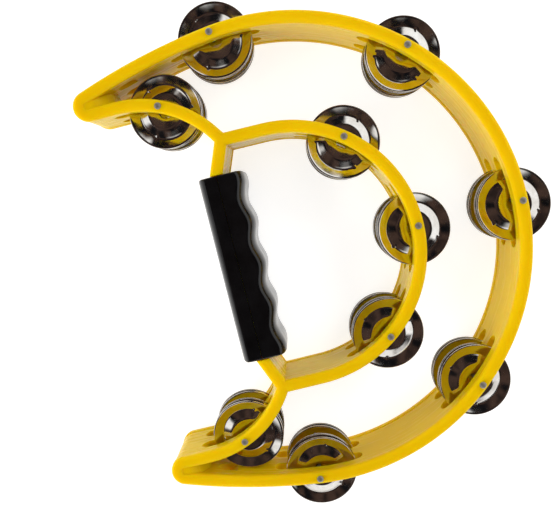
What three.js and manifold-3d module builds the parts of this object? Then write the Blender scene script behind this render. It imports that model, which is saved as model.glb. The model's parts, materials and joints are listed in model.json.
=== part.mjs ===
// Half-moon tambourine, lying on its back rim with its playing side up.
//
// Pieces: one moulded frame (outer crescent, inner arc, two arms and a handle bar),
// a two-part grip clamped round the handle bar, ten headed pins, and forty loose
// jingles, four on each pin. Units are millimetres and +Z is up.
//
// Everything is laid out from the centre of the crescent: +X points away from the
// handle, +Y runs along the handle, and the front rim lies at z = 0 until the last
// lines stand the whole instrument on z = 0.

import * as THREE from 'three';
import { mergeVertices } from 'three/addons/utils/BufferGeometryUtils.js';
import Module from 'manifold-3d';

const wasm = await Module();
wasm.setup();

// ---------------------------------------------------------------- dimensions

// Frame moulding
const FRAME_DEPTH = 45;        // front rim to back rim
const RIM_HALF_WIDTH = 3.5;    // beaded rims on the front and the back
const WEB_HALF_WIDTH = 3.1;    // wall between the two rims
const RIM_DEPTH = 5.4;         // how far each bead runs down the wall
const LAND_HALF_WIDTH = 1.5;   // flat crown along each rim
const RIM_ROUND = 1.9;         // depth of the rounded shoulder of a rim
const CRESCENT_R = 129;        // centreline of the crescent
const TAIL_START_DEG = 96.5;   // where the crescent opens into its flatter tail
const TAIL_R = 365;
const TIP_X = -89.2;           // centre of the rounded tips
const TIP_R = 4.8;             // centreline radius round a tip
const TIP_FILL_R = 5.4;        // solid plug inside a tip
const TIP_DIMPLE = 2.4;        // how far that plug lies below the rims
const ARM_CENTRE_X = -74.6;    // each arm is an arc from its tip to the handle
const ARM_R = 59.6;
const JUNCTION_DEG = 29.4;     // where the arm meets the inner arc and the handle
const INNER_R = 71.2;          // centreline of the inner arc

// Handle bar and its grip
const HANDLE_X = -30;
const GRIP_HALF_LENGTH = 53;
const CORE_HALF_WIDTH = 3.1;   // bar hidden inside the grip
const CORE_INSET = 3.2;        // the hidden bar stops short of both rims
const CORE_OVERLAP = 1.2;      // how far the hidden bar runs into the bare bars
const GRIP_PALM = 11.4;        // from the handle line to the palm side
const GRIP_FINGER = 13.4;      // and to the mean line of the finger side
const FINGER_WAVE = 1.3;       // height of the ridges between the fingers
const FINGER_PITCH = 24.5;
const FINGER_RIDGES = 5;
const GRIP_SHOULDER = 12;      // rounding of the grip, along z
const GRIP_SHOULDER_IN = 5.2;  // and inward, across the grip
const GRIP_OVERRUN = 8;        // the rounded blank is cut to length by this much
const FIT_GAP = 0.3;           // clearance between touching pieces

// Jingle slots: one behind the other, at the same distance from mid-depth
const SLOT_OFFSET = 8.5;
const SLOT_HALF_HEIGHT = 4.4;
const SLOT_HALF_LENGTH = 26.3;
const SLOT_CUT_DEPTH = 24;

// Jingles: stamped discs, rim turned up, with a raised boss round a wide hole
const JINGLE_R = 20.7;
const JINGLE_SHEET = 0.5;
const JINGLE_VALLEY_R = 14.9;
const JINGLE_BOSS_R = 9.4;
const JINGLE_HOLE_R = 3.8;
const JINGLE_RIM_HEIGHT = 2.1;
const JINGLE_BOSS_HEIGHT = 2.1;
const JINGLE_SPREAD = 0.6;     // valley to pair centre; the pair lies back to back
const JINGLE_SEGMENTS = 12;

// The upper and middle jingles hang from their pins by the edge of the hole. The
// lower ones are caught by the ends of their slots and hang less. All of them have
// drifted a little towards the middle of the instrument, and in depth too.
const PLAY = 2.3;              // from a pin's axis to the centre of a hanging jingle
const HANG_LOW = 0.5;
const LOW_Y = -40;
const DRIFT_MIDDLE = 43;       // jingles at this x haven't drifted
const DRIFT_RATE = 0.025;
const DRIFT_LIMIT = 1.3;
const DRIFT_DEPTH = 0.4;
const PAIR_LEAN_DEG = 2.5;
const DISC_LEAN_DEG = 0.4;
const GOLDEN_DEG = 137.5;      // spreads the leans evenly round the compass

// Pins
const PIN_R = 1.2;
const PIN_HEAD_R = 1.9;
const PIN_HEAD_HEIGHT = 1.35;
const PIN_LENGTH = 41;         // below the front rim; it ends inside the back rim
const PIN_SEGMENTS = 8;

// Where the pins stand
const OUTER_PIN_DEG = [TAIL_START_DEG, 47.8, 0, -47.8, -TAIL_START_DEG];
const INNER_PIN_DEG = [53, 0, -53];
const ARM_PIN_DEG = 67.1;      // seen from the arm's own centre

// ---------------------------------------------------------------- materials

const yellowPlastic = new THREE.MeshStandardMaterial({
  color: 0xf5cf05, roughness: 0.28, metalness: 0 });
const blackRubber = new THREE.MeshStandardMaterial({
  color: 0x141416, roughness: 0.45, metalness: 0 });
const nickelPlate = new THREE.MeshStandardMaterial({
  color: 0xc9c5be, roughness: 0.08, metalness: 1 });
const steelPin = new THREE.MeshStandardMaterial({
  color: 0xa8a49c, roughness: 0.25, metalness: 1 });

// ------------------------------------------------------------ solid modelling

const rad = THREE.MathUtils.degToRad;
const FRONT = 0;
const BACK = -FRAME_DEPTH;
const MIDDLE = -FRAME_DEPTH / 2;

// A closed three.js geometry as a manifold solid.
function solid(geometry) {
  const bare = geometry.clone();
  bare.deleteAttribute('normal');
  bare.deleteAttribute('uv');
  const welded = mergeVertices(bare, 1e-4);
  return new wasm.Manifold(new wasm.Mesh({
    numProp: 3,
    vertProperties: new Float32Array(welded.attributes.position.array),
    triVerts: new Uint32Array(welded.index.array),
  }));
}

function geometryOf(manifold) {
  const mesh = manifold.getMesh();
  const geometry = new THREE.BufferGeometry();
  geometry.setAttribute('position', new THREE.BufferAttribute(mesh.vertProperties, 3));
  geometry.setIndex(new THREE.BufferAttribute(mesh.triVerts, 1));
  geometry.computeVertexNormals();
  return geometry;
}

const union = (parts) => parts.reduce((sum, part) => sum.add(part));

function box(x0, x1, y0, y1, z0, z1) {
  const geometry = new THREE.BoxGeometry(x1 - x0, y1 - y0, z1 - z0);
  geometry.translate((x0 + x1) / 2, (y0 + y1) / 2, (z0 + z1) / 2);
  return solid(geometry);
}

function cylinder(x, y, r, z0, z1, segments) {
  const geometry = new THREE.CylinderGeometry(r, r, z1 - z0, segments);
  geometry.rotateX(Math.PI / 2);
  geometry.translate(x, y, (z0 + z1) / 2);
  return solid(geometry);
}

// ------------------------------------------------------------- band centreline
// A station is a point of the centreline with the direction to its left.

// An arc run clockwise, from the larger angle to the smaller one, or the other way.
function arc(cx, cy, r, fromDeg, toDeg, steps) {
  const side = toDeg > fromDeg ? -1 : 1;
  return Array.from({ length: steps + 1 }, (_, i) => {
    const a = rad(THREE.MathUtils.lerp(fromDeg, toDeg, i / steps));
    const [c, s] = [Math.cos(a), Math.sin(a)];
    return { x: cx + r * c, y: cy + r * s, nx: side * c, ny: side * s };
  });
}

// The same run mirrored in y and reversed, so that it continues the first one.
function mirrored(stations) {
  return stations.map(({ x, y, nx, ny }) => ({ x, y: -y, nx, ny: -ny })).reverse();
}

// Runs joined end to end, without doubling the shared stations.
function chain(...runs) {
  return runs.flat().filter((s, i, all) =>
    i === 0 || Math.hypot(s.x - all[i - 1].x, s.y - all[i - 1].y) > 1e-6);
}

// A straight prism of the profile, one step per station, bent along the centreline.
// The profile's x lies across the band and its y along z.
function band(stations, profile) {
  const steps = stations.length - 1;
  const geometry = new THREE.ExtrudeGeometry(new THREE.Shape(profile), {
    depth: steps, steps, bevelEnabled: false });
  const position = geometry.attributes.position;
  for (let i = 0; i < position.count; i++) {
    const across = position.getX(i);
    const s = stations[Math.round(position.getZ(i))];
    position.setXYZ(i, s.x + across * s.nx, s.y + across * s.ny, position.getY(i));
  }
  return solid(geometry);
}

// I-shaped section: a rounded rim at the front and the back, a thinner wall between.
function rimProfile() {
  const half = [
    [LAND_HALF_WIDTH, FRONT],
    [RIM_HALF_WIDTH, FRONT - RIM_ROUND],
    [RIM_HALF_WIDTH, FRONT - RIM_DEPTH + 0.6],
    [WEB_HALF_WIDTH, FRONT - RIM_DEPTH],
  ];
  const side = [...half, ...half.map(([x, z]) => [x, BACK - z]).reverse()];
  const outline = [...side, ...side.map(([x, z]) => [-x, z]).reverse()];
  return outline.map(([x, z]) => new THREE.Vector2(x, z));
}

// -------------------------------------------------------------------- layout

const tailCentre = new THREE.Vector2(Math.cos(rad(TAIL_START_DEG)), Math.sin(rad(TAIL_START_DEG)))
  .multiplyScalar(CRESCENT_R - TAIL_R);
const tipY = tailCentre.y + Math.sqrt((TAIL_R - TIP_R) ** 2 - (TIP_X - tailCentre.x) ** 2);
const tailEndDeg = THREE.MathUtils.radToDeg(
  Math.atan2(tipY - tailCentre.y, TIP_X - tailCentre.x));
const armCentreY = tipY - TIP_R - ARM_R;
const junction = new THREE.Vector2(
  ARM_CENTRE_X + ARM_R * Math.cos(rad(JUNCTION_DEG)),
  armCentreY + ARM_R * Math.sin(rad(JUNCTION_DEG)));

// The inner arc ends where its tangent points at the junction.
const innerEndDeg = THREE.MathUtils.radToDeg(junction.angle()
  - Math.acos(INNER_R / junction.length()));

// Each pin stands on a centreline; outDeg is the direction straight across the band.
function onArc(cx, cy, r, deg) {
  return { x: cx + r * Math.cos(rad(deg)), y: cy + r * Math.sin(rad(deg)), outDeg: deg };
}
const outerStations = OUTER_PIN_DEG.map((deg) => onArc(0, 0, CRESCENT_R, deg));
const innerStations = [
  onArc(ARM_CENTRE_X, armCentreY, ARM_R, ARM_PIN_DEG),
  ...INNER_PIN_DEG.map((deg) => onArc(0, 0, INNER_R, deg)),
  onArc(ARM_CENTRE_X, -armCentreY, ARM_R, -ARM_PIN_DEG),
];
const stations = [
  ...outerStations.map((s, i) => ({ ...s, name: `outer_${i + 1}` })),
  ...innerStations.map((s, i) => ({ ...s, name: `inner_${i + 1}` })),
];

// --------------------------------------------------------------------- frame

function crescentBand() {
  const half = chain(
    arc(ARM_CENTRE_X, armCentreY, ARM_R, JUNCTION_DEG, 90, 7),
    arc(TIP_X, tipY, TIP_R, 270, tailEndDeg, 4),
    arc(tailCentre.x, tailCentre.y, TAIL_R, tailEndDeg, TAIL_START_DEG, 4),
    arc(0, 0, CRESCENT_R, TAIL_START_DEG, 0, 14),
  );
  return band(chain(half, mirrored(half)), rimProfile());
}

function innerBand() {
  const [c, s] = [Math.cos(rad(innerEndDeg)), Math.sin(rad(innerEndDeg))];
  const half = chain(
    [{ x: junction.x, y: junction.y, nx: c, ny: s }],
    arc(0, 0, INNER_R, innerEndDeg, 0, 10),
  );
  return band(chain(half, mirrored(half)), rimProfile());
}

// The bare bar between a junction and the grip, cut square where the grip begins.
function bareBar(sign) {
  const lean = new THREE.Vector2(junction.x - HANDLE_X, junction.y - GRIP_HALF_LENGTH);
  const lateral = 1 / Math.cos(Math.atan2(lean.x, lean.y));
  const run = [
    { x: junction.x, y: junction.y, nx: lateral, ny: 0 },
    { x: HANDLE_X, y: GRIP_HALF_LENGTH + FIT_GAP, nx: lateral, ny: 0 },
  ];
  return band(sign > 0 ? run : mirrored(run), rimProfile());
}

// The shallower bar that the grip is clamped round.
function hiddenBar() {
  const reach = GRIP_HALF_LENGTH + FIT_GAP + CORE_OVERLAP;
  return box(HANDLE_X - CORE_HALF_WIDTH, HANDLE_X + CORE_HALF_WIDTH,
    -reach, reach, BACK + CORE_INSET, FRONT - CORE_INSET);
}

function tipFill(sign) {
  return cylinder(TIP_X, sign * tipY, TIP_FILL_R, BACK + TIP_DIMPLE, FRONT - TIP_DIMPLE, 14);
}

// A long slot with rounded ends, square through the band at a station.
function slotCut(station, z) {
  const flat = SLOT_HALF_LENGTH - SLOT_HALF_HEIGHT;
  const shape = new THREE.Shape();
  shape.absarc(flat, 0, SLOT_HALF_HEIGHT, -Math.PI / 2, Math.PI / 2);
  shape.absarc(-flat, 0, SLOT_HALF_HEIGHT, Math.PI / 2, Math.PI * 1.5);
  const geometry = new THREE.ExtrudeGeometry(shape, {
    depth: SLOT_CUT_DEPTH, curveSegments: 2, bevelEnabled: false });
  geometry.translate(0, 0, -SLOT_CUT_DEPTH / 2);
  geometry.rotateX(Math.PI / 2);
  geometry.rotateZ(rad(station.outDeg + 90));
  geometry.translate(station.x, station.y, z);
  return solid(geometry);
}

function pinHole(station) {
  return cylinder(station.x, station.y, PIN_R + FIT_GAP,
    FRONT - PIN_LENGTH - FIT_GAP, FRONT + 1, PIN_SEGMENTS);
}

function frame() {
  const moulding = union([crescentBand(), innerBand(), bareBar(1), bareBar(-1),
    hiddenBar(), tipFill(1), tipFill(-1)]);
  const cuts = union(stations.flatMap((station) => [
    slotCut(station, MIDDLE + SLOT_OFFSET),
    slotCut(station, MIDDLE - SLOT_OFFSET),
    pinHole(station),
  ]));
  return geometryOf(moulding.subtract(cuts));
}

// ---------------------------------------------------------------------- grip

// Plan of the grip: straight on the palm side, waved on the finger side.
function gripPlan() {
  const end = GRIP_HALF_LENGTH + GRIP_OVERRUN;
  const wave = (y) => HANDLE_X + GRIP_FINGER
    + FINGER_WAVE * Math.cos((2 * Math.PI * y) / FINGER_PITCH);
  const last = (FINGER_RIDGES - 1) * FINGER_PITCH / 2;
  const count = (FINGER_RIDGES - 1) * 6;
  const waved = Array.from({ length: count + 1 }, (_, i) => {
    const y = THREE.MathUtils.lerp(-last, last, i / count);
    return new THREE.Vector2(wave(y), y);
  });
  const palm = HANDLE_X - GRIP_PALM;
  return new THREE.Shape([
    new THREE.Vector2(palm, -end), new THREE.Vector2(wave(last), -end),
    ...waved,
    new THREE.Vector2(wave(last), end), new THREE.Vector2(palm, end),
  ]);
}

// The rounded blank, cut to length, split along the handle line and hollowed
// for the bar. side is -1 for the palm half and +1 for the finger half.
function gripHalf(side) {
  const geometry = new THREE.ExtrudeGeometry(gripPlan(), {
    depth: FRAME_DEPTH - 2 * GRIP_SHOULDER, bevelEnabled: true, bevelSegments: 3,
    bevelThickness: GRIP_SHOULDER, bevelSize: GRIP_SHOULDER_IN, bevelOffset: -GRIP_SHOULDER_IN });
  geometry.translate(0, 0, BACK + GRIP_SHOULDER);
  const reach = 40;
  const seam = HANDLE_X + side * FIT_GAP / 2;
  const [x0, x1] = side < 0 ? [HANDLE_X - reach, seam] : [seam, HANDLE_X + reach];
  const keep = box(x0, x1, -GRIP_HALF_LENGTH, GRIP_HALF_LENGTH, BACK - 1, FRONT + 1);
  const pocket = CORE_HALF_WIDTH + FIT_GAP;
  const cavity = box(HANDLE_X - pocket, HANDLE_X + pocket, -reach * 2, reach * 2,
    BACK + CORE_INSET - FIT_GAP, FRONT - CORE_INSET + FIT_GAP);
  return geometryOf(solid(geometry).intersect(keep).subtract(cavity));
}

// ------------------------------------------------------------ pins and jingles

function pinGeometry() {
  const under = FRONT + FIT_GAP;
  const profile = [
    [0, -PIN_LENGTH], [PIN_R, -PIN_LENGTH], [PIN_R, under], [PIN_HEAD_R, under],
    [PIN_HEAD_R * 0.92, under + PIN_HEAD_HEIGHT * 0.5],
    [PIN_HEAD_R * 0.55, under + PIN_HEAD_HEIGHT * 0.9],
    [0, under + PIN_HEAD_HEIGHT],
  ];
  const geometry = new THREE.LatheGeometry(
    profile.map(([r, y]) => new THREE.Vector2(r, y)), PIN_SEGMENTS);
  geometry.rotateX(Math.PI / 2);
  return geometry;
}

// The disc lies in the xy plane with its valley at z = 0 and its boss towards +z.
function jingleGeometry() {
  const top = [
    [JINGLE_HOLE_R, JINGLE_BOSS_HEIGHT], [JINGLE_BOSS_R, JINGLE_BOSS_HEIGHT],
    [JINGLE_VALLEY_R, 0], [JINGLE_R, JINGLE_RIM_HEIGHT],
  ];
  const under = top.map(([r, y]) => [r, y - JINGLE_SHEET]);
  const profile = [...under, ...top.reverse(), under[0]];
  const geometry = new THREE.LatheGeometry(
    profile.map(([r, y]) => new THREE.Vector2(r, y)), JINGLE_SEGMENTS);
  geometry.rotateX(Math.PI / 2);
  return geometry;
}

// ------------------------------------------------------------------- assembly

const tambourine = new THREE.Group();

function addPiece(name, geometry, material) {
  const mesh = new THREE.Mesh(geometry, material);
  mesh.name = name;
  tambourine.add(mesh);
  return mesh;
}

addPiece('frame', frame(), yellowPlastic);
addPiece('grip_palm_half', gripHalf(-1), blackRubber);
addPiece('grip_finger_half', gripHalf(1), blackRubber);

const pinShape = pinGeometry();
const jingleShape = jingleGeometry();

// Four jingles on a pin, from front to back: two pairs, each pair back to back.
const PLACES = [
  { letter: 'a', slot: 1, faces: 1 }, { letter: 'b', slot: 1, faces: -1 },
  { letter: 'c', slot: -1, faces: 1 }, { letter: 'd', slot: -1, faces: -1 },
];

// A small turn about a level line, the side that dips given by its compass angle.
function lean(compassDeg, deg) {
  const line = new THREE.Vector3(Math.cos(rad(compassDeg)), Math.sin(rad(compassDeg)), 0);
  return new THREE.Quaternion().setFromAxisAngle(line, rad(deg));
}
const flip = new THREE.Quaternion().setFromAxisAngle(new THREE.Vector3(1, 0, 0), Math.PI);

stations.forEach((station, i) => {
  addPiece(`pin_${station.name}`, pinShape, steelPin).position.set(station.x, station.y, 0);
  const drift = THREE.MathUtils.clamp(
    (DRIFT_MIDDLE - station.x) * DRIFT_RATE, -DRIFT_LIMIT, DRIFT_LIMIT);
  const hang = station.y > LOW_Y ? Math.sqrt(PLAY ** 2 - drift ** 2) : HANG_LOW;
  PLACES.forEach(({ letter, slot, faces }, k) => {
    const jingle = addPiece(`jingle_${station.name}_${letter}`, jingleShape, nickelPlate);
    const pairLean = lean((2 * i + (slot > 0 ? 0 : 1)) * GOLDEN_DEG, PAIR_LEAN_DEG);
    const ownLean = lean((4 * i + k) * GOLDEN_DEG, DISC_LEAN_DEG);
    jingle.quaternion.copy(pairLean).multiply(ownLean);
    if (faces < 0) jingle.quaternion.multiply(flip);
    const rise = new THREE.Vector3(0, 0, JINGLE_SPREAD).applyQuaternion(jingle.quaternion);
    const z = MIDDLE + slot * (SLOT_OFFSET - DRIFT_DEPTH);
    jingle.position.set(station.x + drift, station.y - hang, z).add(rise);
  });
});

// Stand the instrument on z = 0, centred on its own outline.
tambourine.updateMatrixWorld(true);
const extent = new THREE.Box3().setFromObject(tambourine);
const middle = extent.getCenter(new THREE.Vector3());
tambourine.position.set(-middle.x, -middle.y, -extent.min.z);

export default tambourine;
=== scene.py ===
"""Half-moon tambourine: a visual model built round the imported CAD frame."""
import json
import math
import bpy
import bmesh
from mathutils import Matrix, Quaternion, Vector


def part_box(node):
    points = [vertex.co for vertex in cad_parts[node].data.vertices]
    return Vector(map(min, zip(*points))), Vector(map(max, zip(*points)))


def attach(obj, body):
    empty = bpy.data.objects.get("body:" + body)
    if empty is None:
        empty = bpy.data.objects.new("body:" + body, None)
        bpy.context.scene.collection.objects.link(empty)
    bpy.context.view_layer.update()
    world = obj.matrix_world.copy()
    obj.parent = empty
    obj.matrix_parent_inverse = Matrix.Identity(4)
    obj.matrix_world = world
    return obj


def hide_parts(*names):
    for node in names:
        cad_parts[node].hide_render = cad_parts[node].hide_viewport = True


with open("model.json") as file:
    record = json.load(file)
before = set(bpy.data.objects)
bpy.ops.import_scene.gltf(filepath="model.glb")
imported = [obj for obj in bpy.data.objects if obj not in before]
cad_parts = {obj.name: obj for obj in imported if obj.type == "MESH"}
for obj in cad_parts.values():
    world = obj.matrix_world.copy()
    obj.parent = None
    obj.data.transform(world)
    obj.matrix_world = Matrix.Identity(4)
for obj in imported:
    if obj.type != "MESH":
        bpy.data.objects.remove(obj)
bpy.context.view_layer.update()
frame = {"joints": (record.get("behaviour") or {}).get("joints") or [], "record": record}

MM = 0.001
rad = math.radians

# ------------------------------------------------------------------ dimensions
# Millimetres, from the centre of the crescent: +x points away from the handle, +y runs
# along it, and the front rim lies at z = 0 with the instrument below it. Angles are degrees.

# Section of every wall: a domed bead along the front and the back, a thinner web between
DEPTH = 45.0
RIM_HALF = 3.5
RIM_CROWN = 2.3               # height of a bead's dome
RIM_POWER = 0.8               # below 1 squares the dome's shoulders off
RIM_STEPS = 8
RIM_DEPTH = 5.4               # how far a bead runs down the wall
WEB_HALF = 3.1
WEB_DRAFT = 0.05              # the web is thinner by this much at mid-depth
# under a bead: half width, and height above the bead's lower end
SHOULDER = ((RIM_HALF, 0.75), (RIM_HALF - 0.12, 0.35), (WEB_HALF, 0.15), (WEB_HALF, -0.6))

# Walls in plan
CRESCENT_R = 129.0
TAIL_START = 96.5             # where the crescent opens into its flatter tail
TAIL_R = 365.0
TIP_X = -89.2                 # centre of the rounded tips
TIP_R = 4.8
ARM_X = -74.6                 # centre of the arms' arcs
ARM_R = 59.6
JUNCTION_DEG = 29.4           # where an arm meets the inner arc and the handle
INNER_R = 71.2
HANDLE_X = -30.0
# distance between the stations of each arc
ARM_STEP = 2.4
TIP_STEP = 0.5
TAIL_STEP = 3.2
CRESCENT_STEP = 2.6
INNER_STEP = 2.2

# Web that closes each tip
SADDLE_DIP = 0.9              # how far it lies below the rims at the nose
SADDLE_BACK = 2.5             # how far it starts behind the tip's centre
SADDLE_X = TIP_X + 0.5        # where it begins to fall away
SADDLE_REACH = 12.5           # and how far on it ends
SADDLE_HALF = 6.2
SADDLE_STEPS = 18

# Grip, and the bar hidden in it
GRIP_HALF = 53.0
GRIP_PALM = 11.4              # from the handle line to the palm side
GRIP_FINGER = 13.4            # and to the mean line of the finger side
FINGER_WAVE = 1.3
FINGER_PITCH = 24.5
GRIP_SHOULDER = 12.0          # rounding of the grip, along z
GRIP_SHOULDER_IN = 5.2        # and inward, across the grip
GRIP_POWER = 0.9
GRIP_ROUND_STEPS = 15
SEAM_LAND = 0.35              # flat strip beside the seam
GRIP_STEPS = 96
# rounding of the grip's ends: distance from the end, and how far the section is drawn in
GRIP_ENDS = ((0.0, 0.9), (0.15, 0.45), (0.5, 0.12), (1.0, 0.0))
SEAM_ZONE = 1.0               # this near the seam the section keeps its width
FACE_ZONE = 1.0               # and further below the face than this, its depth
CORE_HALF = 3.1
CORE_INSET = 3.2
CORE_OVERLAP = 1.2
GAP = 0.3                     # clearance between touching pieces

# Slots and pins
SLOT_OFFSET = 8.5
SLOT_HALF_HEIGHT = 4.4
SLOT_HALF_LENGTH = 26.3
SLOT_CUT = 14.0               # the cutter reaches this far to each side of the wall
SLOT_END_STEPS = 12
OUTER_PIN_DEG = (TAIL_START, 47.8, 0, -47.8, -TAIL_START)
INNER_PIN_DEG = (53, 0, -53)
ARM_PIN_DEG = 67.1            # seen from the arm's own centre
PIN_R = 1.2
PIN_HEAD_R = 1.9
PIN_HEAD_HEIGHT = 1.35
PIN_LENGTH = 41.0
PIN_EDGE = 0.12               # rounding under and round the head
PIN_CHAMFER = 0.2             # at the lower end of the shaft
PIN_POWER = 0.8
PIN_DOME_STEPS = 9
PIN_SIDES = 32
PIN_HOLE_PLAY = 0.15
PIN_HOLE_SIDES = 20
PIN_HOLE_OVER = 1.0           # the cutter stands this far out of the rim

# Jingles: the upper face as radius and height, from the hole outward
JINGLE_R = 20.7
JINGLE_SHEET = 0.5
HOLE_R = 3.8
DISH = ((HOLE_R, 1.36), (3.88, 1.46), (4.1, 1.50), (6.4, 1.70), (8.3, 1.92))
RIDGE = ((8.9, 1.99), (9.4, 2.02), (9.9, 1.97), (10.4, 1.84))
CONE_TOP = (10.9, 1.66)
CONE_FOOT = (14.2, 0.32)
CONE_STEPS = 5
VALLEY = ((14.5, 0.17), (14.75, 0.06), (14.95, 0.02), (15.15, 0.05))
FLANGE_R = 15.35
FLANGE_Z = 0.09
FLANGE_WIDTH = 4.5
FLANGE_SLOPE = 0.41           # at its foot
FLANGE_CURL = 0.05            # how it steepens outward
FLANGE_STEPS = 7
LIP = ((20.05, 2.22), (20.3, 2.25), (20.5, 2.2), (20.64, 2.06))
LIP_EDGE = ((JINGLE_R, 1.86), (20.68, 1.67))

# Three small dimples, pressed up out of each jingle's valley
DIMPLE_DEG = (0.0, 120.0, 240.0)
DIMPLE_R = 14.85
DIMPLE_HEIGHT = 0.45
DIMPLE_ALONG = 0.8
DIMPLE_ACROSS = 0.65
DIMPLE_END = 6.0              # the dimple's exponent, where it is cut off
FINE_DEG = 1.25               # turn between columns of points near a dimple
COARSE_DEG = 3.75             # and elsewhere
FINE_REACH_DEG = 7.4

# Edges sharper than these stay sharp in the shading
SHARP_WALL = 32
SHARP_FRAME = 33
SHARP_SMALL = 40


def node_centre(node):
    lo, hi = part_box(node)
    return (lo + hi) / 2


# The middle outer pin stands on the crescent's own x axis.
ORIGIN = node_centre("pin_outer_3") / MM - Vector((CRESCENT_R, 0, 0))
FRONT_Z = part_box("frame")[1].z / MM


def place(x, y, z):
    """A point given from the crescent's centre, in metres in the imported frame."""
    return Vector((x + ORIGIN.x, y + ORIGIN.y, z + FRONT_Z)) * MM


# ------------------------------------------------------------------- mesh tools
def smooth(mesh, sharp_deg):
    mesh.polygons.foreach_set("use_smooth", [True] * len(mesh.polygons))
    mesh.set_sharp_from_angle(angle=rad(sharp_deg))


def finish_mesh(name, bm, sharp_deg):
    bmesh.ops.recalc_face_normals(bm, faces=bm.faces)
    mesh = bpy.data.meshes.new(name)
    bm.to_mesh(mesh)
    bm.free()
    smooth(mesh, sharp_deg)
    return mesh


def add_object(name, data):
    obj = bpy.data.objects.new(name, data)
    bpy.context.scene.collection.objects.link(obj)
    return obj


def skin(name, rings, sharp_deg=SHARP_WALL):
    """A solid skinned over rings of points, with a flat cap at each end."""
    bm = bmesh.new()
    rows = [[bm.verts.new(p) for p in ring] for ring in rings]
    count = len(rows[0])
    for a, b in zip(rows, rows[1:]):
        for i in range(count):
            j = (i + 1) % count
            bm.faces.new((a[i], a[j], b[j], b[i]))
    bm.faces.new(list(reversed(rows[0])))
    bm.faces.new(rows[-1])
    return add_object(name, finish_mesh(name, bm, sharp_deg))


def lathe(name, profile, angles, rise=None):
    """A mesh turned from a closed profile (r, z); rise(r, angle) lifts single points."""
    bm = bmesh.new()
    cols = []
    for a in angles:
        col = []
        for r, z in profile:
            dz = rise(r, a) if rise else 0.0
            col.append(bm.verts.new(Vector((r * math.cos(a), r * math.sin(a), z + dz)) * MM))
        cols.append(col)
    n = len(profile)
    for a, b in zip(cols, cols[1:] + cols[:1]):
        for i in range(n):
            j = (i + 1) % n
            bm.faces.new((a[i], b[i], b[j], a[j]))
    bmesh.ops.remove_doubles(bm, verts=bm.verts, dist=1e-7)
    return finish_mesh(name, bm, SHARP_SMALL)


def combine(target, others, operation):
    """One boolean with several solids, applied, and the solids removed."""
    for other in others:
        m = target.modifiers.new("b", "BOOLEAN")
        m.operation = operation
        m.solver = "MANIFOLD"
        m.object = other
    dg = bpy.context.evaluated_depsgraph_get()
    mesh = bpy.data.meshes.new_from_object(target.evaluated_get(dg))
    target.modifiers.clear()
    target.data = mesh
    for other in others:
        bpy.data.objects.remove(other)


# ------------------------------------------------------------------ runs in plan
# A run is a list of stations (x, y, nx, ny), where n is the normal to the left of travel.
def arc(cx, cy, r, start, end, step):
    side = -1 if end > start else 1
    count = max(1, round(abs(rad(end - start)) * r / step))
    out = []
    for i in range(count + 1):
        a = rad(start + (end - start) * i / count)
        out.append((cx + r * math.cos(a), cy + r * math.sin(a),
                    side * math.cos(a), side * math.sin(a)))
    return out


def mirrored(run):
    return [(x, -y, nx, -ny) for x, y, nx, ny in reversed(run)]


def chain(*runs):
    """Runs joined end to end, with doubled stations dropped."""
    out = []
    for run in runs:
        for s in run:
            if not out or math.hypot(s[0] - out[-1][0], s[1] - out[-1][1]) > 1e-6:
                out.append(s)
    return out


def band(name, run, profile):
    """A wall of the given section (offset, z) along a run."""
    return skin(name, [[place(x + a * nx, y + a * ny, z) for a, z in profile]
                       for x, y, nx, ny in run])


# The tail is tangent to the crescent, and the tip to both the tail and the arm.
tail_cx = math.cos(rad(TAIL_START)) * (CRESCENT_R - TAIL_R)
tail_cy = math.sin(rad(TAIL_START)) * (CRESCENT_R - TAIL_R)
tip_y = tail_cy + math.sqrt((TAIL_R - TIP_R) ** 2 - (TIP_X - tail_cx) ** 2)
tail_end = math.degrees(math.atan2(tip_y - tail_cy, TIP_X - tail_cx))
arm_y = tip_y - TIP_R - ARM_R
junction = Vector((ARM_X + ARM_R * math.cos(rad(JUNCTION_DEG)),
                   arm_y + ARM_R * math.sin(rad(JUNCTION_DEG))))
inner_end = math.degrees(math.atan2(junction.y, junction.x)
                         - math.acos(INNER_R / junction.length))


def on_arc(cx, cy, r, deg):
    return cx + r * math.cos(rad(deg)), cy + r * math.sin(rad(deg)), deg


# The pin stations: name, then x, y and the direction across the wall
OUTER = [on_arc(0, 0, CRESCENT_R, d) for d in OUTER_PIN_DEG]
INNER = ([on_arc(ARM_X, arm_y, ARM_R, ARM_PIN_DEG)]
         + [on_arc(0, 0, INNER_R, d) for d in INNER_PIN_DEG]
         + [on_arc(ARM_X, -arm_y, ARM_R, -ARM_PIN_DEG)])
STATIONS = ([("outer_%d" % (i + 1), s) for i, s in enumerate(OUTER)]
            + [("inner_%d" % (i + 1), s) for i, s in enumerate(INNER)])


# -------------------------------------------------------------------- the frame
def rim_profile():
    """The wall's section: one side from the front crown down to mid-depth, mirrored twice."""
    half = [(0.0, 0.0)]
    for i in range(1, RIM_STEPS + 1):
        t = rad(90 - 90 * i / RIM_STEPS)
        half.append((RIM_HALF * math.cos(t) ** RIM_POWER,
                     RIM_CROWN * (math.sin(t) ** RIM_POWER - 1)))
    half += [(x, -RIM_DEPTH + rise) for x, rise in SHOULDER]
    half.append((WEB_HALF - WEB_DRAFT, -DEPTH / 2))
    side = half + [(x, -DEPTH - z) for x, z in reversed(half[:-1])]
    return side + [(-x, z) for x, z in reversed(side[1:-1])]


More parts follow.
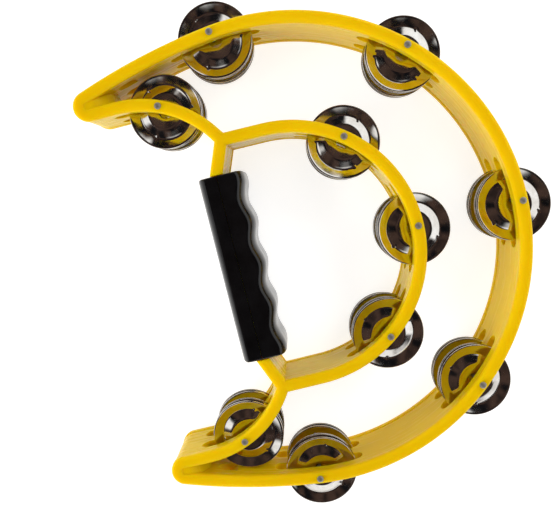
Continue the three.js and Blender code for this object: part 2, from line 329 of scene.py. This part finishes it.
def slot_cutter(x, y, deg, z):
    """A bar with round ends, lying across the wall."""
    flat = SLOT_HALF_LENGTH - SLOT_HALF_HEIGHT
    outline = []
    for centre, start in ((flat, -90), (-flat, 90)):
        for i in range(SLOT_END_STEPS + 1):
            a = rad(start + 180 * i / SLOT_END_STEPS)
            outline.append((centre + SLOT_HALF_HEIGHT * math.cos(a),
                            SLOT_HALF_HEIGHT * math.sin(a)))
    c, s = math.cos(rad(deg)), math.sin(rad(deg))
    return skin("slot", [[place(x + d * c - u * s, y + d * s + u * c, z + w)
                          for u, w in outline] for d in (-SLOT_CUT, SLOT_CUT)])


def pin_hole_cutter(x, y):
    r = PIN_R + PIN_HOLE_PLAY
    turns = [2 * math.pi * i / PIN_HOLE_SIDES for i in range(PIN_HOLE_SIDES)]
    return skin("hole", [[place(x + r * math.cos(t), y + r * math.sin(t), z) for t in turns]
                         for z in (-PIN_LENGTH - GAP, PIN_HOLE_OVER)])


def tip_saddle(name, y):
    """The web in a tip: shallow at the nose, then falling away to mid-depth."""
    top = [(TIP_X - SADDLE_BACK, -SADDLE_DIP), (SADDLE_X, -SADDLE_DIP)]
    for i in range(1, SADDLE_STEPS + 1):
        t = rad(90 * i / SADDLE_STEPS)
        top.append((SADDLE_X + SADDLE_REACH * math.sin(t),
                    -SADDLE_DIP - (DEPTH / 2 - SADDLE_DIP) * (1 - math.cos(t))))
    outline = top + [(x, -DEPTH - z) for x, z in reversed(top[:-1])]
    return skin(name, [[place(x, y + across, z) for x, z in outline]
                       for across in (-SADDLE_HALF, SADDLE_HALF)])


def handle_core(reach):
    """The bar hidden inside the grip."""
    corners = ((HANDLE_X - CORE_HALF, -reach), (HANDLE_X + CORE_HALF, -reach),
               (HANDLE_X + CORE_HALF, reach), (HANDLE_X - CORE_HALF, reach))
    return skin("core", [[place(x, y, z) for x, y in corners]
                         for z in (-DEPTH + CORE_INSET, -CORE_INSET)])


def build_frame():
    profile = rim_profile()
    half = chain(
        arc(ARM_X, arm_y, ARM_R, JUNCTION_DEG, 90, ARM_STEP),
        arc(TIP_X, tip_y, TIP_R, 270, tail_end, TIP_STEP),
        arc(tail_cx, tail_cy, TAIL_R, tail_end, TAIL_START, TAIL_STEP),
        arc(0, 0, CRESCENT_R, TAIL_START, 0, CRESCENT_STEP))
    outer = band("frame_moulding", chain(half, mirrored(half)), profile)
    c, s = math.cos(rad(inner_end)), math.sin(rad(inner_end))
    inner_half = chain([(junction.x, junction.y, c, s)],
                       arc(0, 0, INNER_R, inner_end, 0, INNER_STEP))
    inner = band("inner", chain(inner_half, mirrored(inner_half)), profile)
    # the bare bars run at a slant, so their section is widened to keep its thickness
    slant = math.atan2(junction.x - HANDLE_X, junction.y - GRIP_HALF)
    wide = 1 / math.cos(slant)
    run = [(junction.x, junction.y, wide, 0), (HANDLE_X, GRIP_HALF + GAP, wide, 0)]
    bars = [band("bar_a", run, profile), band("bar_b", mirrored(run), profile)]
    core = handle_core(GRIP_HALF + GAP + CORE_OVERLAP)
    saddles = [tip_saddle("saddle_upper", tip_y), tip_saddle("saddle_lower", -tip_y)]
    combine(outer, [inner, *bars, core, *saddles], "UNION")
    cuts = []
    for _, (x, y, deg) in STATIONS:
        for sign in (1, -1):
            cuts.append(slot_cutter(x, y, deg, -DEPTH / 2 + sign * SLOT_OFFSET))
        cuts.append(pin_hole_cutter(x, y))
    combine(outer, cuts, "DIFFERENCE")
    smooth(outer.data, SHARP_FRAME)
    return outer


# --------------------------------------------------------------------- the grip
def grip_side(y, side):
    """Section of a grip half at y, from the seam over the front to the widest point."""
    width = GRIP_PALM
    if side > 0:
        width = GRIP_FINGER + FINGER_WAVE * math.cos(2 * math.pi * y / FINGER_PITCH)
    out = [(0.0, 0.0), (SEAM_LAND, 0.0)]
    face = width - GRIP_SHOULDER_IN
    for i in range(GRIP_ROUND_STEPS):
        t = rad(90 - 90 * i / GRIP_ROUND_STEPS)
        out.append((face + GRIP_SHOULDER_IN * math.cos(t) ** GRIP_POWER,
                    GRIP_SHOULDER * (math.sin(t) ** GRIP_POWER - 1)))
    out.append((width, -GRIP_SHOULDER))
    return out


def build_grip_half(name, side):
    """One shell of the grip; side is -1 for the palm and 1 for the fingers."""
    seam = GAP / 2
    pocket = CORE_HALF + GAP
    top = -CORE_INSET + GAP
    end_depth = GRIP_ENDS[-1][0]
    sections = [(-GRIP_HALF + d, inset) for d, inset in GRIP_ENDS]
    for i in range(1, GRIP_STEPS):
        y = -GRIP_HALF + end_depth + 2 * (GRIP_HALF - end_depth) * i / GRIP_STEPS
        sections.append((y, 0.0))
    sections += [(GRIP_HALF - d, inset) for d, inset in reversed(GRIP_ENDS)]
    rings = []
    for y, inset in sections:
        outer = []
        for x, z in grip_side(y, side):
            if x > SEAM_ZONE:
                x -= inset
            if z > -FACE_ZONE:
                z -= inset
            outer.append((max(x, seam), z))
        full = outer + [(x, -DEPTH - z) for x, z in reversed(outer)]
        full += [(seam, -DEPTH - top), (pocket, -DEPTH - top), (pocket, top), (seam, top)]
        rings.append([place(HANDLE_X + side * x, y, z) for x, z in full])
    return skin(name, rings, SHARP_SMALL)


# ------------------------------------------------------------- pins and jingles
def build_pin_mesh():
    """A headed pin, its axis on z, with z = 0 at the front rim."""
    edge = GAP + PIN_EDGE
    line = [(0.0, -PIN_LENGTH), (PIN_R - PIN_CHAMFER, -PIN_LENGTH),
            (PIN_R, -PIN_LENGTH + PIN_CHAMFER), (PIN_R, GAP - PIN_EDGE),
            (PIN_R + PIN_EDGE, GAP), (PIN_HEAD_R - PIN_EDGE, GAP), (PIN_HEAD_R, edge)]
    for i in range(1, PIN_DOME_STEPS):
        t = rad(90 * i / PIN_DOME_STEPS)
        line.append((PIN_HEAD_R * math.cos(t) ** PIN_POWER,
                     edge + (PIN_HEAD_HEIGHT - PIN_EDGE) * math.sin(t)))
    line.append((0.0, edge + PIN_HEAD_HEIGHT - PIN_EDGE))
    return lathe("pin", line, [2 * math.pi * i / PIN_SIDES for i in range(PIN_SIDES)])


def disc_line():
    """The upper face of a jingle: dish, ridge, cone, valley, flange, lip."""
    line = [*DISH, *RIDGE]
    for i in range(CONE_STEPS + 1):
        t = i / CONE_STEPS
        line.append((CONE_TOP[0] + (CONE_FOOT[0] - CONE_TOP[0]) * t,
                     CONE_TOP[1] + (CONE_FOOT[1] - CONE_TOP[1]) * t))
    line += VALLEY
    for i in range(FLANGE_STEPS + 1):
        t = i / FLANGE_STEPS
        line.append((FLANGE_R + FLANGE_WIDTH * t,
                     FLANGE_Z + FLANGE_WIDTH * (FLANGE_SLOPE * t + FLANGE_CURL * t * t)))
    return [*line, *LIP]


def from_dimple(deg):
    """Degrees to the nearest dimple."""
    return min(abs((deg - f + 180) % 360 - 180) for f in DIMPLE_DEG)


def dimple_rise(r, angle):
    along = rad(from_dimple(math.degrees(angle))) * r / DIMPLE_ALONG
    across = (r - DIMPLE_R) / DIMPLE_ACROSS
    q = along ** 2 + across ** 2
    return DIMPLE_HEIGHT * math.exp(-q) if q < DIMPLE_END else 0.0


def build_disc_mesh():
    top = disc_line()
    under = [(r, z - JINGLE_SHEET) for r, z in reversed(top[:-1])]
    angles = []
    deg = 0.0
    while deg < 360:
        angles.append(rad(deg))
        deg += FINE_DEG if from_dimple(deg) < FINE_REACH_DEG else COARSE_DEG
    return lathe("disc", [*top, *LIP_EDGE, *under], angles, dimple_rise)


# -------------------------------------------------------------------- materials
class Nodes:
    """Short calls for building a material's node tree, all in object coordinates."""

    def __init__(self, name):
        self.mat = bpy.data.materials.new(name)
        self.mat.use_nodes = True
        self.tree = self.mat.node_tree
        self.bsdf = self.tree.nodes["Principled BSDF"]

    def new(self, kind, **inputs):
        """A node with its sockets set or linked; an underscore in a key is a space."""
        node = self.tree.nodes.new(kind)
        for key, value in inputs.items():
            self.put(node.inputs[key.replace("_", " ")], value)
        return node

    def put(self, socket, value):
        if isinstance(value, bpy.types.NodeSocket):
            self.tree.links.new(value, socket)
        else:
            socket.default_value = value

    def surface(self, **inputs):
        """Set or link sockets of the shader."""
        for key, value in inputs.items():
            self.put(self.bsdf.inputs[key.replace("_", " ")], value)

    def coords(self):
        return self.new("ShaderNodeTexCoord").outputs["Object"]

    def stretched(self, scale):
        return self.new("ShaderNodeMapping", Scale=scale,
                        Vector=self.coords()).outputs["Vector"]

    def noise(self, scale, detail, vector=None, rough=0.5):
        return self.new("ShaderNodeTexNoise", Scale=scale, Detail=detail, Roughness=rough,
                        Vector=vector or self.coords()).outputs["Fac"]

    def ramp(self, value, *stops):
        node = self.new("ShaderNodeValToRGB", Fac=value)
        elements = node.color_ramp.elements
        while len(elements) < len(stops):
            elements.new(0.5)
        for e, (position, colour) in zip(elements, stops):
            e.position = position
            e.color = (*colour, 1)
        return node.outputs["Color"]

    def spread(self, value, lo, hi, out_lo, out_hi):
        return self.new("ShaderNodeMapRange", Value=value, From_Min=lo, From_Max=hi,
                        To_Min=out_lo, To_Max=out_hi).outputs["Result"]

    def multiplied(self, a, b):
        node = self.new("ShaderNodeMix")
        node.data_type = "RGBA"
        node.blend_type = "MULTIPLY"
        # sockets 0, 6 and 7 are the factor and the two colours
        for socket, value in ((0, 1.0), (6, a), (7, b)):
            self.put(node.inputs[socket], value)
        return node.outputs[2]

    def bump(self, *heights):
        """Chained bump nodes: (height, strength, distance in metres)."""
        normal = None
        for height, strength, distance in heights:
            node = self.new("ShaderNodeBump", Strength=strength, Distance=distance,
                            Height=height)
            if normal is not None:
                self.put(node.inputs["Normal"], normal)
            normal = node.outputs["Normal"]
        self.surface(Normal=normal)


def yellow_plastic():
    """Moulded plastic, slightly translucent, with faint clouds and flow streaks."""
    n = Nodes("yellow_plastic")
    streaks = n.noise(26, 3, vector=n.stretched((1, 1, 16)), rough=0.6)
    clouds = n.noise(14, 3)
    base = n.ramp(clouds, (0.25, (0.640, 0.418, 0.001)), (0.5, (0.656, 0.438, 0.0015)),
                  (0.75, (0.676, 0.458, 0.002)))
    pale = n.ramp(streaks, (0.35, (0.985, 0.98, 0.96)), (0.62, (1.0, 1.0, 1.0)),
                  (0.8, (1.012, 1.014, 1.02)))
    n.surface(Base_Color=n.multiplied(base, pale),
              Roughness=n.spread(streaks, 0.3, 0.7, 0.24, 0.29), Specular_IOR_Level=0.06,
              Subsurface_Weight=0.8, Subsurface_Radius=(1.0, 0.62, 0.04),
              Subsurface_Scale=0.008)
    n.bump((n.noise(30, 2), 0.04, 0.0005))
    return n.mat


def black_rubber():
    """Dense glossy rubber, near black, with a very fine grain."""
    n = Nodes("black_rubber")
    n.surface(Base_Color=n.ramp(n.noise(90, 4), (0.3, (0.0012, 0.0012, 0.0014)),
                                (0.7, (0.003, 0.003, 0.0034))),
              Roughness=n.spread(n.noise(160, 3), 0.3, 0.7, 0.14, 0.24),
              Specular_IOR_Level=0.4)
    n.bump((n.noise(1400, 2), 0.05, 0.0001), (n.noise(120, 2), 0.05, 0.0004))
    return n.mat


def nickel():
    """Polished plating with a warm, uneven tone and slightly dull spots."""
    n = Nodes("nickel_plate")
    n.surface(Base_Color=n.ramp(n.noise(130, 4, rough=0.6), (0.3, (0.58, 0.55, 0.505)),
                                (0.7, (0.74, 0.725, 0.70))),
              Metallic=1.0, Roughness=n.spread(n.noise(300, 3), 0.3, 0.75, 0.05, 0.16))
    n.bump((n.noise(70, 2), 0.10, 0.0004), (n.noise(900, 2), 0.04, 0.0001))
    return n.mat


def steel():
    """Dull grey steel with a fine grain."""
    n = Nodes("pin_steel")
    n.surface(Base_Color=n.ramp(n.noise(700, 3), (0.3, (0.21, 0.198, 0.18)),
                                (0.7, (0.33, 0.315, 0.29))),
              Metallic=0.7, Roughness=n.spread(n.noise(900, 3), 0.3, 0.7, 0.34, 0.46))
    n.bump((n.noise(1500, 2), 0.15, 0.0001))
    return n.mat


def floor_white():
    """Matt white paper, lit up so that it reads as a clean background."""
    n = Nodes("floor_white")
    n.surface(Base_Color=n.ramp(n.noise(6, 2), (0.3, (0.50, 0.50, 0.50)),
                                (0.7, (0.53, 0.53, 0.53))),
              Roughness=0.9, Specular_IOR_Level=0.1, Emission_Color=(1, 1, 1, 1),
              Emission_Strength=0.74)
    return n.mat


# --------------------------------------------------------------------- assembly
def dress(obj, material):
    """Give a piece its one material; the booleans leave an empty slot in front of it."""
    obj.data.materials.clear()
    obj.data.materials.append(material)


def register(obj, body, node):
    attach(obj, body)
    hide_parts(node)


body_of_node = {n: b for b, ns in frame["record"]["behaviour"]["bodies"].items() for n in ns}
joints = {j["child"]: j for j in frame["joints"]}
yellow = yellow_plastic()
rubber = black_rubber()

moulding = build_frame()
palm_shell = build_grip_half("grip_shell_palm", -1)
finger_shell = build_grip_half("grip_shell_finger", 1)
dress(moulding, yellow)
dress(palm_shell, rubber)
dress(finger_shell, rubber)
register(moulding, "frame", "frame")
register(palm_shell, "frame", "grip_palm_half")
register(finger_shell, "frame", "grip_finger_half")

pin_mesh = build_pin_mesh()
disc_mesh = build_disc_mesh()
pin_mesh.materials.append(steel())
disc_mesh.materials.append(nickel())

# how far each disc is turned on its axis from the one before, along the stations and in a set
STATION_TURN = 47
LETTER_TURN = 71

for k, (name, (x, y, _)) in enumerate(STATIONS):
    pin = add_object("rivet_" + name, pin_mesh)
    pin.location = place(x, y, 0)
    register(pin, "frame", "pin_" + name)
    for m, letter in enumerate("abcd"):
        node = "jingle_%s_%s" % (name, letter)
        joint = joints[body_of_node[node]]
        axis = Vector(joint["axis"]).normalized()
        # b and d are the lower discs of their pairs and face down
        if letter in "bd":
            axis = -axis
        tilt = Vector((0, 0, 1)).rotation_difference(axis)
        spin = Quaternion((0, 0, 1), rad(STATION_TURN * k + LETTER_TURN * m))
        disc = add_object("disc_%s_%s" % (name, letter), disc_mesh)
        disc.matrix_world = (Matrix.Translation(Vector(joint["pos_m"]))
                             @ (tilt @ spin).to_matrix().to_4x4())
        register(disc, body_of_node[node], node)


# --------------------------------------------------------- floor, light, camera
FLOOR_HALF = 8.0              # metres
FLOOR_Z = -0.0004

# The studio round the instrument, by direction. The steps run from dark to bright: they
# are heights of a unit ray, or its distance across an edge.
WORLD_STRENGTH = 1.25
SURROUND_STEP = (0.46, 0.34)
WINDOW_TOP_STEP = (0.76, 0.68)
WINDOW_EDGES = ((0.574, 0.819, 0.0), (0.940, -0.342, 0.0))
WINDOW_EDGE_STEP = (-0.04, 0.06)
# two small windows: direction, radius and softness
SMALL_WINDOWS = (((-0.80, 0.10, 0.60), 0.14, 0.10), ((-0.10, -0.82, 0.48), 0.22, 0.20))
CEILING_DARK = (0.006, 0.006, 0.007, 1)
CEILING_WARM = (0.060, 0.036, 0.028, 1)
CEILING_STOPS = (0.42, 0.64)
CEILING_SCALE = 3.5
WOBBLE_SCALE = 3.0
WOBBLE = 0.16                 # how far the windows' edges wander

# name, place in metres, width in metres, watts
LIGHTS = (("overhead", (0.1, 0.1, 1.3), 1.4, 7),
          ("left", (-2.2, -0.5, 1.0), 1.6, 52),
          ("right", (0.85, 0.6, 0.85), 0.6, 5))

CAMERA_PLACE = (9.65, 33.33, 343.86)
CAMERA_AXES = ((0.97053, 0.23565, 0.05033),
               (-0.23941, 0.96672, 0.09024),
               (-0.02739, -0.09963, 0.99465))
CAMERA_LENS = 40.52
CAMERA_SENSOR = 36


def make_floor():
    bm = bmesh.new()
    for x, y in ((-1, -1), (1, -1), (1, 1), (-1, 1)):
        bm.verts.new((x * FLOOR_HALF, y * FLOOR_HALF, FLOOR_Z))
    bm.faces.new(bm.verts)
    floor = add_object("floor", finish_mesh("floor", bm, SHARP_WALL))
    floor.data.materials.append(floor_white())


def make_world():
    """A dark ceiling with one large soft window, two small ones, and a bright surround."""
    world = bpy.data.worlds.new("studio")
    bpy.context.scene.world = world
    world.use_nodes = True
    tree = world.node_tree

    def node(kind, *inputs, **settings):
        made = tree.nodes.new(kind)
        for key, value in settings.items():
            setattr(made, key, value)
        for socket, value in zip(made.inputs, inputs):
            if isinstance(value, bpy.types.NodeSocket):
                tree.links.new(value, socket)
            else:
                socket.default_value = value
        return made

    def noise(vector, scale, detail):
        made = node("ShaderNodeTexNoise", vector)
        made.inputs["Scale"].default_value = scale
        made.inputs["Detail"].default_value = detail
        return made.outputs

    def either(a, b):
        return node("ShaderNodeMath", a, b, operation="MAXIMUM").outputs[0]

    def both(a, b):
        return node("ShaderNodeMath", a, b, operation="MULTIPLY").outputs[0]

    def step(value, dark, bright):
        return node("ShaderNodeMapRange", value, dark, bright, 0.0, 1.0,
                    interpolation_type="SMOOTHSTEP").outputs[0]

    def along(direction):
        return node("ShaderNodeVectorMath", ray, direction,
                    operation="DOT_PRODUCT").outputs["Value"]

    def disc_window(centre, radius, soft):
        far = node("ShaderNodeVectorMath", ray, centre, operation="DISTANCE").outputs["Value"]
        return step(far, radius + soft, radius)

    coord = node("ShaderNodeTexCoord").outputs["Generated"]
    around = node("ShaderNodeVectorMath", noise(coord, WOBBLE_SCALE, 2.0)["Color"],
                  (0.5, 0.5, 0.5), operation="SUBTRACT").outputs[0]
    wobble = node("ShaderNodeVectorMath", around, operation="SCALE")
    wobble.inputs["Scale"].default_value = WOBBLE
    ray = node("ShaderNodeVectorMath", coord, wobble.outputs[0], operation="ADD").outputs[0]

    up = along((0, 0, 1))
    white = step(up, *SURROUND_STEP)
    window = step(up, *WINDOW_TOP_STEP)
    for edge in WINDOW_EDGES:
        window = both(window, step(along(edge), *WINDOW_EDGE_STEP))
    white = either(white, window)
    for small in SMALL_WINDOWS:
        white = either(white, disc_window(*small))

    ceiling = node("ShaderNodeValToRGB", noise(coord, CEILING_SCALE, 1.0)["Fac"])
    for e, position, colour in zip(ceiling.color_ramp.elements, CEILING_STOPS,
                                   (CEILING_DARK, CEILING_WARM)):
        e.position = position
        e.color = colour
    mix = node("ShaderNodeMix", data_type="RGBA")
    # sockets 0, 6 and 7 are the factor and the two colours
    tree.links.new(white, mix.inputs[0])
    tree.links.new(ceiling.outputs["Color"], mix.inputs[6])
    mix.inputs[7].default_value = (1, 1, 1, 1)
    back = tree.nodes["Background"]
    tree.links.new(mix.outputs[2], back.inputs["Color"])
    back.inputs["Strength"].default_value = WORLD_STRENGTH


def soft_light(name, location, size, energy):
    """A square lamp aimed at the instrument; it lights, but mirrors don't show it."""
    light = bpy.data.lights.new(name, "AREA")
    light.shape = "SQUARE"
    light.size = size
    light.energy = energy
    obj = add_object(name, light)
    obj.location = location
    obj.rotation_euler = (-Vector(location)).to_track_quat("-Z", "Y").to_euler()
    obj.visible_glossy = False
    obj.visible_camera = False


def make_camera():
    data = bpy.data.cameras.new("camera")
    data.sensor_width = CAMERA_SENSOR
    data.lens = CAMERA_LENS
    cam = add_object("camera", data)
    spot = place(*CAMERA_PLACE)
    rows = [(*axis, at) for axis, at in zip(CAMERA_AXES, spot)]
    cam.matrix_world = Matrix((*rows, (0, 0, 0, 1)))
    bpy.context.scene.camera = cam


make_floor()
make_world()
for lamp in LIGHTS:
    soft_light(*lamp)
make_camera()
bpy.context.scene.view_settings.view_transform = "Standard"
